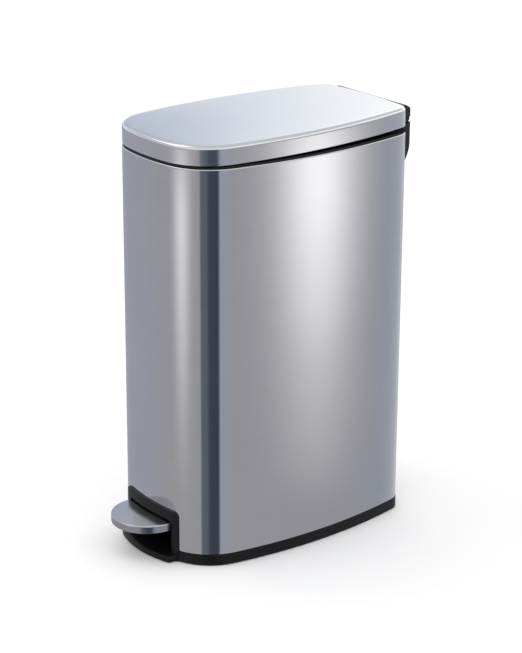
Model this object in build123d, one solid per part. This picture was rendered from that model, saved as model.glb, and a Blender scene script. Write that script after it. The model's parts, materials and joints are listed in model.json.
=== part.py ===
from build123d import *
import os
from math import atan, cos, degrees, radians, sin, sqrt, tan

# Slim rectangular step-on bin, in millimetres. The pedal is towards -Y, the lid hinge towards +Y,
# +Z is up. Everything is drawn about the middle of the steel body and moved to the origin on export,
# which is the middle of the whole bin's footprint, on the floor.

# Plan outline of the body: four bowed sides joined by corner arcs, rounder in front than behind.
body_width = 255.7
body_depth = 407.0
side_bow = 26.8
front_bow = 23.7
back_bow = 11.8
front_corner = 79.4
back_corner = 23.7
widest_y = -15.6

# Heights of the body.
foot_stand = 1.5
base_height = 16.1
shell_height = 583.9
shell_bottom = foot_stand + base_height
shell_top = shell_bottom + shell_height
sheet = 0.6
hem_width = 4.0
hem_radius = 1.3

# Base moulding.
base_proud = 0.8
floor_low = 6.0
floor_top = 9.0
upstand_top = 30.0
rib = 2.5
foot_radius = 9.0
foot_height = 4.4
foot_x = 82.0
foot_ys = (-120.0, 140.0)

# Pedal surround: a frame on the front of the body, a lip on the floor and a pocket behind it.
frame_half = 67.0
frame_top = 78.5
frame_corner = 9.0
frame_proud = 2.7
skin_gap = 0.15
opening_half = 55.6
opening_low = 11.0
opening_top = 63.0
opening_corner = 6.0
lip_half = 64.0
lip_reach = 20.0
lip_edge = 3.0
lip_corner = 16.0
lip_bow = 12.0
lip_root = 8.5
pocket_depth = 52.0
pocket_wall = 2.0
surround_screw_x = 66.0

# Lid.
lid_inset = 0.5
lid_height = 29.8
lid_edge = 6.0
lid_drop = 3.8
lid_tilt = 0.894
lid_opens = 85.0
liner_wall = 2.5
panel_rise = 9.0

# Hinge and the covers over it.
hinge_back = 7.3
hinge_z = 616.0
pin_radius = 2.0
pin_half = 34.0
barrel_radius = 4.6
cover_half = 80.0
cover_back = 5.2
cover_wall = 2.2
cover_top = 22.0
cover_swing = 7.4
ear_x = 28.0
ear_thickness = 2.5
cheek_x = 9.0
cheek_thickness = 2.5
crank_radius = 22.0

# Rim and the bucket that hangs in it.
rim_top = shell_top + 3.0
rim_inset = 1.6
rim_inner = 9.0
ledge_drop = 11.0
ledge_inner = 14.0
tub_back = 178.5
tub_wall = 2.0
tub_inset = 15.5
tub_taper = 11.5
tub_bottom = 78.0
crank_bay = 33.0
crank_bay_front = 182.0

# Lever, rod and damper.
pivot_y = -17.5
pivot_z = 40.0
lever_half = 12.0
lever_plate = 2.0
web_rise = 8.0
flange_drop = 6.0
pad_half = 54.0
pad_reach = 58.0
pad_low = 48.0
pad_high = 61.0
pad_skin = 0.9
tab_top = 56.0
rod_radius = 2.5
rod_x = 17.0
rod_end_x = 6.5
damper_x = -32.0
damper_y = 183.0
damper_low = 100.0
damper_high = 175.0
running = 0.05

# Worked out from the above.
half_width = body_width / 2
front_y = -body_depth / 2
back_y = body_depth / 2
hinge_y = back_y + hinge_back
lid_low = hinge_z - lid_drop
lid_high = lid_low + lid_height
crank_angle = lid_opens / 2
rod_y = hinge_y - crank_radius * cos(radians(crank_angle))
rod_top_z = hinge_z - crank_radius * sin(radians(crank_angle))
rod_rise = 2 * crank_radius * sin(radians(crank_angle))
lever_arm = rod_y - pivot_y
lever_tilt = degrees(atan(rod_rise / 2 / lever_arm))
pedal_travel = 2 * lever_tilt
lever_slope = tan(radians(lever_tilt))
rod_bottom_z = pivot_z - rod_rise / 2
damper_travel = (damper_y - pivot_y) * sin(radians(pedal_travel))
origin_shift = -(front_y - pad_reach + hinge_y + cover_back) / 2


class End:
    """One end of the plan outline: its bow and the corners that join it to the sides."""

    def __init__(self, y, bow, corner):
        self.y = y
        self.facing = 1 if y > 0 else -1
        self.radius = bow_radius(half_width, bow)
        self.centre = Vector(0, y - self.facing * self.radius)
        self.corner = corner


def bow_radius(half_chord, bow):
    """Radius of the arc that rises by bow over a chord."""
    return (half_chord**2 + bow**2) / (2 * bow)


side_radius = bow_radius(back_y, side_bow)
side_centre = Vector(half_width - side_radius, widest_y)
front_end = End(front_y, front_bow, front_corner)
back_end = End(back_y, back_bow, back_corner)
tub_end = End(tub_back, 2.0, 31.0)


def corner_centre(end):
    """Centre of the right-hand corner arc, which touches the side arc and the end arc inside."""
    side_reach = side_radius - end.corner
    end_reach = end.radius - end.corner
    gap = end.centre - side_centre
    along = (side_reach**2 - end_reach**2 + gap.length**2) / (2 * gap.length)
    across = sqrt(side_reach**2 - along**2)
    direction = gap.normalized()
    foot = side_centre + direction * along
    normal = Vector(-direction.Y, direction.X)
    choices = [foot + normal * across, foot - normal * across]
    return max(choices, key=lambda point: point.X + end.facing * point.Y)


def corner_points(end, offset):
    """Where the right-hand corner arc leaves the side, its middle, and where it meets the end."""
    centre = corner_centre(end)
    to_side = (centre - side_centre).normalized()
    to_end = (centre - end.centre).normalized()
    to_middle = (to_side + to_end).normalized()
    return [centre + way * (end.corner + offset) for way in (to_side, to_middle, to_end)]


def mirrored(point):
    return Vector(-point.X, point.Y)


def outline(offset, back=back_end):
    """The plan outline moved outwards by offset, as a face. Every arc keeps its centre."""
    front = corner_points(front_end, offset)
    rear = corner_points(back, offset)
    return make_face([
        ThreePointArc(mirrored(front[2]), Vector(0, front_y - offset), front[2]),
        ThreePointArc(front[2], front[1], front[0]),
        ThreePointArc(front[0], Vector(half_width + offset, widest_y), rear[0]),
        ThreePointArc(rear[0], rear[1], rear[2]),
        ThreePointArc(rear[2], Vector(0, back.y + offset), mirrored(rear[2])),
        ThreePointArc(mirrored(rear[2]), mirrored(rear[1]), mirrored(rear[0])),
        ThreePointArc(mirrored(rear[0]), Vector(-half_width - offset, widest_y), mirrored(front[0])),
        ThreePointArc(mirrored(front[0]), mirrored(front[1]), mirrored(front[2])),
    ])


def slab(offset, low, high, back=back_end):
    """The plan outline as a solid between two heights."""
    return extrude(Pos(0, 0, low) * outline(offset, back), high - low)


def band(outer, inner, low, high, back=back_end):
    """A wall that follows the plan outline, between two offsets and two heights."""
    return slab(outer, low, high, back) - slab(inner, low - 1, high + 1, back)


def block(x, y, z):
    """A box from its (low, high) ranges."""
    size = Box(x[1] - x[0], y[1] - y[0], z[1] - z[0])
    return Pos((x[0] + x[1]) / 2, (y[0] + y[1]) / 2, (z[0] + z[1]) / 2) * size


def window(half, low, high, corner, y):
    """A block with its corners rounded as seen from the front, between two places in Y."""
    face = RectangleRounded(2 * half, high - low, corner)
    return Pos(0, y[1], (low + high) / 2) * Rot(90, 0, 0) * extrude(face, y[1] - y[0])


def side_profile(points, x):
    """A (y, z) outline as a solid between two places in X."""
    face = make_face(Polyline(*points, close=True))
    return extrude(Plane.YZ.offset(x[0]) * face, x[1] - x[0])


def rod_along_x(radius, x, y, z):
    return Pos((x[0] + x[1]) / 2, y, z) * Rot(0, 90, 0) * Cylinder(radius, x[1] - x[0])


def rod_along_y(radius, x, y, z):
    return Pos(x, (y[0] + y[1]) / 2, z) * Rot(90, 0, 0) * Cylinder(radius, y[1] - y[0])


def rod_along_z(radius, x, y, z):
    return Pos(x, y, (z[0] + z[1]) / 2) * Cylinder(radius, z[1] - z[0])


def both_sides(make, x):
    """The same piece at +x and -x."""
    return make(x) + make(-x)


def upright_screws(places, under_head, tip, radius, head_radius, head_height):
    """Screws on vertical axes. The head is above when tip is lower than under_head."""
    down = tip < under_head
    head = (under_head, under_head + head_height) if down else (under_head - head_height, under_head)
    shank = (tip, under_head) if down else (under_head, tip)
    screws = []
    for x, y in places:
        screw = rod_along_z(radius, x, y, shank) + rod_along_z(head_radius, x, y, head)
        screws.append(screw)
    return Compound(children=screws)


def from_hinge(points):
    """Places given from the hinge axis, as (y, z) of the model."""
    return [(hinge_y + y, hinge_z + z) for y, z in points]


def tilted(piece):
    """Turns a lid piece about the hinge axis, so that the lid rests lower in front."""
    return piece.rotate(Axis((0, hinge_y, hinge_z), (1, 0, 0)), lid_tilt)


bracket_rivet_places = [(x, pivot_y + y) for x in (-23, 23) for y in (-8, 8)]
surround_screw_places = [(-surround_screw_x, front_y + 23), (surround_screw_x, front_y + 23)]
pedal_screw_places = [(0, front_y - 32), (0, front_y - 4)]
damper_screw_places = [(damper_x, damper_y - 10), (damper_x, damper_y + 5)]
lid_screw_places = [(x, y) for x in (-20, 20) for y in (back_y - 36, back_y - 24)]
hinge_rivet_places = [(x, z) for x in (-20, 20) for z in (hinge_z - 42, hinge_z - 24)]
cover_screw_x = 58.0
cover_screw_z = hinge_z - 28


def make_outer_shell():
    shell = slab(0, shell_bottom, shell_top)
    shell = fillet(shell.edges().group_by(Axis.Z)[-1], hem_radius)
    shell -= slab(-sheet, shell_bottom + sheet, shell_top - sheet)
    shell -= slab(-hem_width, shell_bottom - 1, shell_top + 1)
    shell -= window(frame_half - 3, -20, frame_top - 3, frame_corner, (front_y - 20, front_y + 20))
    shell -= block((-crank_bay, crank_bay), (back_y - 20, back_y + 5), (shell_top - 5, shell_top + 5))
    for x, z in hinge_rivet_places:
        shell -= rod_along_y(2.1, x, (back_y - 20, back_y + 5), z)
    for x in (-cover_screw_x, cover_screw_x):
        shell -= rod_along_y(2.1, x, (back_y - 20, back_y + 5), cover_screw_z)
    return shell


def make_base():
    base = band(base_proud, -hem_width - 0.2, foot_stand, shell_bottom)
    base += slab(-hem_width, floor_low, floor_top)
    base += band(-hem_width - 0.6, -hem_width - 3, floor_low, upstand_top)
    inside = slab(-hem_width, foot_stand, floor_low)
    for y in (-90, 5, 90):
        base += block((-half_width, half_width), (y, y + rib), (foot_stand, floor_low)) & inside
    for x in (-62.5, 62.5):
        base += block((x - rib / 2, x + rib / 2), (front_y, back_y), (foot_stand, floor_low)) & inside
    for y in foot_ys:
        for x in (-foot_x, foot_x):
            base += rod_along_z(foot_radius + 3, x, y, (foot_stand, floor_low))
            base -= rod_along_z(foot_radius + 0.1, x, y, (0, foot_height + 0.1))
    base -= block((-frame_half - 0.3, frame_half + 0.3), (front_y - 5, front_y + 15), (0, upstand_top + 1))
    room = opening_half + pocket_wall + 1.5
    base -= block((-room, room), (front_y - 5, front_y + pocket_depth + 1), (0, upstand_top + 1))
    base -= block((-48, 48), (back_y - 20, back_y - 4.4), (floor_top, upstand_top + 1))
    holes = bracket_rivet_places + surround_screw_places + damper_screw_places
    for x, y in holes:
        base -= rod_along_z(2.05, x, y, (0, floor_top + 1))
    return base


def make_rubber_feet():
    feet = []
    for y in foot_ys:
        for x in (-foot_x, foot_x):
            foot = rod_along_z(foot_radius, x, y, (0, foot_height))
            feet.append(chamfer(foot.edges().group_by(Axis.Z)[0], 0.6))
    return Compound(children=feet)


def lip_face(inset):
    """The tongue in front of the body that the lip covers, seen from above."""
    half = lip_half - inset
    front = front_y - lip_reach + inset
    bow = bow_radius(lip_half, lip_bow) - inset
    square = Pos(0, front + 40) * RectangleRounded(2 * half, 80, lip_corner - inset)
    tongue = square & Pos(0, front + bow) * Circle(bow)
    return tongue - Pos(0, front_y + lip_root + 50) * Rectangle(200, 100)


def make_pedal_surround():
    inside = opening_half + 1
    outside = inside + pocket_wall
    rear = front_y + pocket_depth
    reach = (front_y - 20, front_y + 20)
    frame = band(frame_proud, skin_gap, foot_stand, frame_top)
    frame &= window(frame_half, -20, frame_top, frame_corner, reach)
    lip = extrude(Pos(0, 0, foot_stand) * lip_face(0), opening_low - foot_stand)
    root = front_y + lip_root
    rounded = lip.edges().group_by(Axis.Z)[-1].filter_by(lambda edge: edge.center().Y < root - 1)
    lip = fillet(rounded, lip_edge)
    lip -= extrude(Pos(0, 0, foot_stand - 1) * lip_face(3), opening_low - foot_stand - 1.5)
    pocket = block((-outside, outside), (front_y + skin_gap, rear), (opening_low - 2.5, opening_top + 3))
    pocket -= block((-inside, inside), (front_y - 5, rear - pocket_wall), (opening_low, opening_top + 1))
    pocket &= slab(skin_gap, foot_stand, frame_top)
    surround = frame + lip + pocket
    surround -= window(opening_half, opening_low, opening_top, opening_corner, reach)
    surround -= block((-14.5, 14.5), (rear - 5, rear + 5), (opening_low + 2, opening_top - 1))
    for x, y in surround_screw_places:
        tab_x = (outside - 1, surround_screw_x + 5) if x > 0 else (-surround_screw_x - 5, 1 - outside)
        surround += block(tab_x, (y - 5, y + 6), (floor_top, floor_top + 2.5))
        surround -= rod_along_z(2.05, x, y, (floor_top - 1, floor_top + 4))
    return surround


def make_surround_screws():
    return upright_screws(surround_screw_places, floor_top + 2.5, floor_low - 3, 2.0, 3.6, 2.0)


def make_pivot_bracket():
    bracket = block((-30, 30), (pivot_y - 14, pivot_y + 14), (floor_top, floor_top + 2))

    def ear(side):
        x = (14, 16) if side > 0 else (-16, -14)
        plate = block(x, (pivot_y - 9, pivot_y + 9), (floor_top, pivot_z))
        return plate + rod_along_x(9, x, pivot_y, pivot_z)

    bracket += both_sides(ear, 1)
    bracket -= rod_along_x(3.02, (-20, 20), pivot_y, pivot_z)
    for x, y in bracket_rivet_places:
        bracket -= rod_along_z(2.05, x, y, (0, floor_top + 4))
    return bracket


def make_bracket_rivets():
    rivets = []
    for x, y in bracket_rivet_places:
        rivet = rod_along_z(2, x, y, (floor_low - 1.5, floor_top + 3.5))
        rivet += rod_along_z(3.5, x, y, (floor_top + 2, floor_top + 3.5))
        rivet += rod_along_z(3.5, x, y, (floor_low - 1.5, floor_low))
        rivets.append(rivet)
    return Compound(children=rivets)


def make_pivot_pin():
    pin = rod_along_x(3, (-18.5, 19.5), pivot_y, pivot_z)
    pin += rod_along_x(5, (-18.5, -16.2), pivot_y, pivot_z)
    groove = rod_along_x(4, (17, 18.2), pivot_y, pivot_z) - rod_along_x(2.4, (16, 19), pivot_y, pivot_z)
    return pin - groove


def make_pivot_clip():
    clip = rod_along_x(6, (17.1, 18.1), pivot_y, pivot_z) - rod_along_x(2.45, (16, 19), pivot_y, pivot_z)
    return clip - block((16, 19), (pivot_y - 2, pivot_y + 2), (pivot_z - 10, pivot_z))


def lever_line(y, rise):
    """A place on the lever, rise above the line through the pivot and the rod."""
    return (y, pivot_z + rise - (y - pivot_y) * lever_slope)


def make_pedal_lever():
    rear = rod_y + 6.2
    knee = front_y + 26
    mouth = front_y + 11
    tip = front_y - 45
    top = [lever_line(rear, web_rise), (pivot_y, pivot_z + web_rise)]
    under = [(pivot_y, pivot_z + web_rise - lever_plate), lever_line(rear, web_rise - lever_plate)]
    tab = [(mouth, tab_top), (tip, tab_top), (tip, tab_top - lever_plate), (mouth, tab_top - lever_plate)]
    web = side_profile(top + tab + under, (-lever_half, lever_half))
    low = [(mouth, tab_top - lever_plate), (knee, tab_top - 12), (pivot_y, pivot_z - flange_drop)]
    sides = side_profile(top + [(mouth, tab_top)] + low + [lever_line(rear, -flange_drop)],
                         (-lever_half, lever_half))
    sides -= block((lever_plate - lever_half, lever_half - lever_plate), (front_y - 60, back_y), (0, 90))
    lever = web + sides
    ends = (damper_y + 8, damper_y - 8)
    wing = [lever_line(y, web_rise) for y in ends]
    wing += [lever_line(y, web_rise - lever_plate) for y in reversed(ends)]
    lever += side_profile(wing, (damper_x - 8, -lever_half + 0.5))
    lever -= rod_along_x(3 + running, (-15, 15), pivot_y, pivot_z)
    slot = extrude(Plane.YZ * Rot(0, 0, -lever_tilt) * SlotOverall(13.8, 6.4), 6)
    lever -= Pos(8, rod_y - 2.9, rod_bottom_z + 2.9 * lever_slope) * slot
    for x, y in pedal_screw_places:
        lever -= rod_along_z(2.05, x, y, (tab_top - 5, tab_top + 5))
    return lever


def pad_face(inset):
    """Half-moon tread seen from above, with straight sides where it enters the body."""
    half = pad_half - inset
    arc = ThreePointArc((-half, front_y), (0, front_y - pad_reach + inset), (half, front_y))
    back = front_y + 11
    sides = Polyline((half, front_y), (half, back), (-half, back), (-half, front_y))
    return make_face([arc, *sides.edges()])


def make_pedal_cap():
    cap = extrude(Pos(0, 0, pad_low) * pad_face(0), pad_high - pad_low)
    front_edge = cap.edges().group_by(Axis.Z)[-1].sort_by(Edge.length)[-1:]
    cap = fillet(front_edge, 1.5)
    inner = extrude(Pos(0, 0, pad_low - 1) * pad_face(pad_skin), pad_high - pad_low + 1 - pad_skin)
    cap -= inner
    return cap - block((-pad_half + pad_skin, pad_half - pad_skin), (front_y, front_y + 20),
                       (pad_low - 1, pad_high - pad_skin))


def make_pedal_core():
    core = extrude(Pos(0, 0, pad_low + 1) * pad_face(pad_skin + 0.1), pad_high - pad_low - 2)
    core -= block((-lever_half - 0.15, lever_half + 0.15), (front_y - 45.3, front_y + 20),
                  (tab_top - lever_plate - 0.15, tab_top + 0.15))
    for x, y in pedal_screw_places:
        core -= rod_along_z(2.05, x, y, (pad_low - 1, tab_top + 2))
    return core


def make_pedal_screws():
    return upright_screws(pedal_screw_places, pad_low + 1, tab_top + 1.5, 2.0, 3.6, 1.6)


def make_lift_rod():
    bend = 5.0
    path = FilletPolyline((rod_end_x, rod_y, rod_top_z), (rod_x, rod_y, rod_top_z),
                          (rod_x, rod_y, rod_bottom_z), (rod_end_x, rod_y, rod_bottom_z), radius=bend)
    section = Plane(origin=path @ 0, z_dir=path % 0) * Circle(rod_radius)
    return sweep(section, path=path)


def make_rod_clips():
    def clip(z):
        ring = rod_along_x(4, (7.3, 8.4), rod_y, z) - rod_along_x(rod_radius + 0.02, (7, 9), rod_y, z)
        return ring - block((7, 9), (rod_y - 1.6, rod_y + 1.6), (z, z + 6))

    return Compound(children=[clip(rod_top_z), clip(rod_bottom_z)])


def make_damper_bracket():
    upright_y = (back_y - 7.7, back_y - 5.7)
    x = (damper_x - 10, damper_x + 10)
    bracket = block(x, (damper_y - 16, upright_y[1]), (floor_top, floor_top + 2))
    bracket += block(x, upright_y, (floor_top, damper_high - 4))
    for z in (damper_low + 8, damper_high - 18):
        bracket += block(x, (damper_y - 4, upright_y[1]), (z, z + 10))
    bracket -= rod_along_z(11.02, damper_x, damper_y, (damper_low - 5, damper_high + 5))
    for place in damper_screw_places:
        bracket -= rod_along_z(2.05, *place, (0, floor_top + 4))
    return bracket


def make_damper_screws():
    return upright_screws(damper_screw_places, floor_top + 2, floor_low - 3, 2.0, 3.4, 1.6)


def make_damper_cylinder():
    body = rod_along_z(11, damper_x, damper_y, (damper_low, damper_high))
    body -= rod_along_z(9, damper_x, damper_y, (damper_low + 4, damper_high - 3))
    body -= rod_along_z(rod_radius + running, damper_x, damper_y, (damper_low - 1, damper_low + 6))
    return body


def make_damper_plunger():
    foot_z = lever_line(damper_y, web_rise)[1] + 1.0
    plunger = rod_along_z(rod_radius, damper_x, damper_y, (foot_z + 1, damper_low + 9))
    plunger += rod_along_z(9 - running, damper_x, damper_y, (damper_low + 7, damper_low + 13))
    foot = rod_along_z(6, damper_x, damper_y, (foot_z, foot_z + 4))
    return plunger + chamfer(foot.edges().group_by(Axis.Z)[0], 1)


def make_top_rim():
    ledge_z = rim_top - ledge_drop - liner_wall - 3
    rim = slab(-rim_inset, shell_top, rim_top) - slab(-rim_inner, 0, rim_top + 1, tub_end)
    rim += band(-hem_width - 0.3, -hem_width - 2.5, shell_top - 9, rim_top)
    rim += band(liner_wall - rim_inner, -rim_inner, ledge_z, rim_top, tub_end)
    rim += band(liner_wall - rim_inner, -ledge_inner, ledge_z, ledge_z + liner_wall, tub_end)
    rim -= block((-crank_bay, crank_bay), (crank_bay_front, back_y + 5), (ledge_z - 1, rim_top + 1))
    return rim


def make_inner_bucket():
    seat = rim_top - ledge_drop - 3
    top = seat + liner_wall
    wall_top = Pos(0, 0, top) * outline(-tub_inset, tub_end)
    wall_low = Pos(0, 0, tub_bottom) * outline(-tub_inset - tub_taper, tub_end)
    hollow_top = Pos(0, 0, top + 1) * outline(-tub_inset - tub_wall, tub_end)
    hollow_low = Pos(0, 0, tub_bottom + tub_wall) * outline(-tub_inset - tub_taper - tub_wall, tub_end)
    bucket = loft([wall_low, wall_top])
    bucket += band(-rim_inner - 1.5, -tub_inset - 1, seat, top, tub_end)
    bucket -= loft([hollow_low, hollow_top])
    bucket -= window(32, seat - 30, seat - 12, 8.9, (front_y, front_y + 40))
    bucket -= window(32, seat - 30, seat - 12, 8.9, (tub_back - 35, tub_back))
    return bucket


def make_lid_bumpers():
    y = front_y + 8.2
    underside = lid_low + 0.7 - (hinge_y - y) * tan(radians(lid_tilt))
    bumpers = []
    for x in (-42, 42):
        bumper = rod_along_z(2.2, x, y, (rim_top, underside - 0.3))
        bumpers.append(fillet(bumper.edges().group_by(Axis.Z)[-1], 0.6))
    return Compound(children=bumpers)


def make_lid_cap():
    cap = slab(-lid_inset, lid_low, lid_high)
    cap = fillet(cap.edges().group_by(Axis.Z)[-1], lid_edge)
    hollow = slab(-lid_inset - sheet, lid_low + sheet, lid_high - sheet)
    hollow = fillet(hollow.edges().group_by(Axis.Z)[-1], lid_edge - sheet)
    cap -= hollow
    cap -= slab(-lid_inset - 2, lid_low - 1, lid_low + 2)
    cap -= block((-crank_bay, crank_bay), (back_y - 20, back_y + 5), (lid_low - 1, lid_low + 14))
    return tilted(cap)


def make_lid_liner():
    low = lid_low + sheet + 0.1
    inset = lid_inset + sheet + 0.2
    panel = 22.0
    liner = slab(-inset, low, low + liner_wall) - slab(-panel, 0, lid_high, tub_end)
    liner += band(-inset, -inset - 2, low, low + 18)
    liner += band(-panel, -panel - liner_wall, low, low + panel_rise + liner_wall, tub_end)
    liner += slab(-panel, low + panel_rise, low + panel_rise + liner_wall, tub_end)
    liner -= block((-13, 13), (back_y - 20, back_y + 5), (low - 1, lid_high))
    liner -= block((-crank_bay, crank_bay), (back_y - 4, back_y + 5), (low - 1, lid_high))
    for x, y in lid_screw_places:
        liner -= rod_along_z(2.05, x, y, (low - 1, low + 5))
    return tilted(liner)


def make_lid_screws():
    low = lid_low + sheet + 0.1
    return tilted(upright_screws(lid_screw_places, low, low + liner_wall + 4, 2.0, 3.6, 1.4))


def make_lid_arm():
    turn = radians(crank_angle - lid_tilt)
    crank = (-crank_radius * cos(turn), -crank_radius * sin(turn))
    side = (4.5 * sin(turn), -4.5 * cos(turn))
    plate_low = sheet + 0.1 + liner_wall - lid_drop + 0.05
    bar = [(side[0], side[1]), (crank[0] + side[0], crank[1] + side[1]),
           (crank[0] - side[0], crank[1] - side[1]), (-side[0], -side[1])]
    tail = [(0, 4.6), (-16, plate_low + 7), (-48, plate_low + 7), (-48, plate_low), (-12, plate_low),
            (0, -4.6)]

    def cheek(side_sign):
        x = (cheek_x, cheek_x + cheek_thickness)
        x = x if side_sign > 0 else (-x[1], -x[0])
        shape = side_profile(from_hinge(bar), x) + side_profile(from_hinge(tail), x)
        shape += rod_along_x(5, x, hinge_y, hinge_z)
        return shape + rod_along_x(5, x, hinge_y + crank[0], hinge_z + crank[1])

    arm = both_sides(cheek, 1)
    arm += block((-28, 28), (hinge_y - 48, hinge_y - 19), (hinge_z + plate_low, hinge_z + plate_low + 2))
    arm += block((-cheek_x - 1, cheek_x + 1), (hinge_y - 20, hinge_y - 14),
                 (hinge_z + plate_low, hinge_z + plate_low + 2))
    arm -= rod_along_x(pin_radius + running, (-20, 20), hinge_y, hinge_z)
    arm -= rod_along_x(rod_radius + running, (-20, 20), hinge_y + crank[0], hinge_z + crank[1])
    for x, y in lid_screw_places:
        arm -= rod_along_z(2.05, x, y, (hinge_z + plate_low - 1, hinge_z + 10))
    return tilted(arm)


def make_hinge_cover_upper():
    low = 3.0
    outer = [(-18, low), (cover_back, low), (cover_back, cover_top - 8), (cover_back - 1.5, cover_top - 5.5),
             (-5, cover_top), (-18, cover_top)]
    inner = [(-20, low - 9), (cover_back - cover_wall, low - 9), (cover_back - cover_wall, cover_top - 8.5),
             (cover_back - 3, cover_top - 7), (-5.6, cover_top - cover_wall), (-20, cover_top - cover_wall)]
    cover = side_profile(from_hinge(outer), (-cover_half, cover_half))
    cover = fillet(cover.edges().filter_by(Axis.Z).group_by(Axis.Y)[-1], 3)
    cover -= side_profile(from_hinge(inner), (cover_wall - cover_half, cover_half - cover_wall))
    cover += rod_along_x(barrel_radius, (3 - cover_half, cover_half - 3), hinge_y, hinge_z)
    cover -= slab(0.15 - lid_inset, lid_low - 20, lid_high + 20)
    for x in (ear_x - 0.8, -ear_x - ear_thickness - 0.8):
        cover -= rod_along_x(5.3, (x, x + ear_thickness + 1.6), hinge_y, hinge_z)
    for x in (cheek_x - 0.4, -cheek_x - cheek_thickness - 0.4):
        cover -= rod_along_x(5.6, (x, x + cheek_thickness + 0.8), hinge_y, hinge_z)
    cover -= rod_along_x(pin_radius + running, (-pin_half - 0.5, pin_half + 0.5), hinge_y, hinge_z)
    return tilted(cover)


def cover_profile(inset):
    """Lower hinge cover seen from the side: flat behind, curving in to the body at its foot."""
    back = cover_back - inset
    top = (back, -3.0)
    straight_end = (back, -36.0)
    foot = (-13.0 - inset, -80.0 + inset)
    curve = Spline([straight_end, (-2.5 - inset, -62.0), foot], tangents=[(0, -1), (-0.6, -1)])
    front = Polyline(foot, (-22, foot[1]), (-22, top[1]), top, straight_end)
    face = make_face([curve, *front.edges()])
    return Plane.YZ * Pos(hinge_y, hinge_z) * face


def make_hinge_cover_lower():
    half = cover_half
    inner_half = cover_half - cover_wall
    cover = extrude(cover_profile(0), half, both=True)
    cover = fillet(cover.edges().filter_by(Axis.Z).group_by(Axis.Y)[-1], 3)
    cover -= extrude(cover_profile(cover_wall), inner_half, both=True)
    for x in (-cover_screw_x, cover_screw_x):
        cover += rod_along_y(5.5, x, (back_y - 3, hinge_y + cover_back), cover_screw_z)
    cover -= block((-inner_half, inner_half), (0, hinge_y + cover_back - cover_wall), (hinge_z - 9, hinge_z))
    cover -= slab(skin_gap, 0, lid_high)
    cover -= rod_along_x(cover_swing, (-100, 100), hinge_y, hinge_z)
    for x in (-cover_screw_x, cover_screw_x):
        cover -= rod_along_y(2.05, x, (back_y - 3, hinge_y + 8), cover_screw_z)
        cover -= rod_along_y(3.9, x, (hinge_y + cover_back - 2.4, hinge_y + 8), cover_screw_z)
    return cover


def make_cover_screws():
    screws = []
    seat = hinge_y + cover_back - 2.4
    for x in (-cover_screw_x, cover_screw_x):
        screw = rod_along_y(2, x, (back_y - 8, seat), cover_screw_z)
        screw += rod_along_y(3.7, x, (seat, seat + 2), cover_screw_z)
        screw -= block((x - 0.5, x + 0.5), (seat + 1, seat + 3), (cover_screw_z - 2.4, cover_screw_z + 2.4))
        screw -= block((x - 2.4, x + 2.4), (seat + 1, seat + 3), (cover_screw_z - 0.5, cover_screw_z + 0.5))
        screws.append(screw)
    return Compound(children=screws)


def make_hinge_bracket():
    face = hinge_back - 0.1
    bracket = block((-36, 36), (hinge_y - face, hinge_y - face + 2), (hinge_z - 48, hinge_z - 18))
    side = [(-face, -48), (-face + 3, -48), (-0.8, -38), (-0.8, -8), (0.5, -4), (-4.2, 0), (-5.4, -8),
            (-face, -12)]

    def ear(sign):
        x = (ear_x, ear_x + ear_thickness) if sign > 0 else (-ear_x - ear_thickness, -ear_x)
        return side_profile(from_hinge(side), x) + rod_along_x(4.4, x, hinge_y, hinge_z)

    bracket += both_sides(ear, 1)
    bracket -= rod_along_x(pin_radius + 0.02, (-50, 50), hinge_y, hinge_z)
    for x, z in hinge_rivet_places:
        bracket -= rod_along_y(2.1, x, (back_y - 20, back_y + 20), z)
    return bracket


def make_hinge_rivets():
    rivets = []
    for x, z in hinge_rivet_places:
        rivet = rod_along_y(2, x, (back_y - 2.9, back_y + 3.6), z)
        rivet += rod_along_y(4, x, (back_y + 2.2, back_y + 3.6), z)
        rivet += rod_along_y(4, x, (back_y - 2.9, back_y - 1.3), z)
        rivets.append(rivet)
    return Compound(children=rivets)


def make_hinge_pin():
    return rod_along_x(pin_radius, (-pin_half, pin_half), hinge_y, hinge_z)


makers = {
    "outer_shell": make_outer_shell,
    "base": make_base,
    "rubber_feet": make_rubber_feet,
    "top_rim": make_top_rim,
    "lid_bumpers": make_lid_bumpers,
    "pedal_surround": make_pedal_surround,
    "surround_screws": make_surround_screws,
    "pivot_bracket": make_pivot_bracket,
    "bracket_rivets": make_bracket_rivets,
    "pivot_pin": make_pivot_pin,
    "pivot_clip": make_pivot_clip,
    "hinge_bracket": make_hinge_bracket,
    "hinge_rivets": make_hinge_rivets,
    "hinge_pin": make_hinge_pin,
    "hinge_cover_lower": make_hinge_cover_lower,
    "cover_screws": make_cover_screws,
    "damper_bracket": make_damper_bracket,
    "damper_screws": make_damper_screws,
    "damper_cylinder": make_damper_cylinder,
    "damper_plunger": make_damper_plunger,
    "pedal_lever": make_pedal_lever,
    "pedal_core": make_pedal_core,
    "pedal_cap": make_pedal_cap,
    "pedal_screws": make_pedal_screws,
    "lift_rod": make_lift_rod,
    "rod_clips": make_rod_clips,
    "inner_bucket": make_inner_bucket,
    "lid_cap": make_lid_cap,
    "lid_liner": make_lid_liner,
    "lid_screws": make_lid_screws,
    "lid_arm": make_lid_arm,
    "hinge_cover_upper": make_hinge_cover_upper,
}

os.makedirs("parts", exist_ok=True)
for node, make in makers.items():
    export_step(Pos(0, origin_shift, 0) * make(), f"parts/{node}.step")
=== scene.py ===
import bpy
import bmesh
import json
import math
from mathutils import Matrix, Vector


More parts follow.
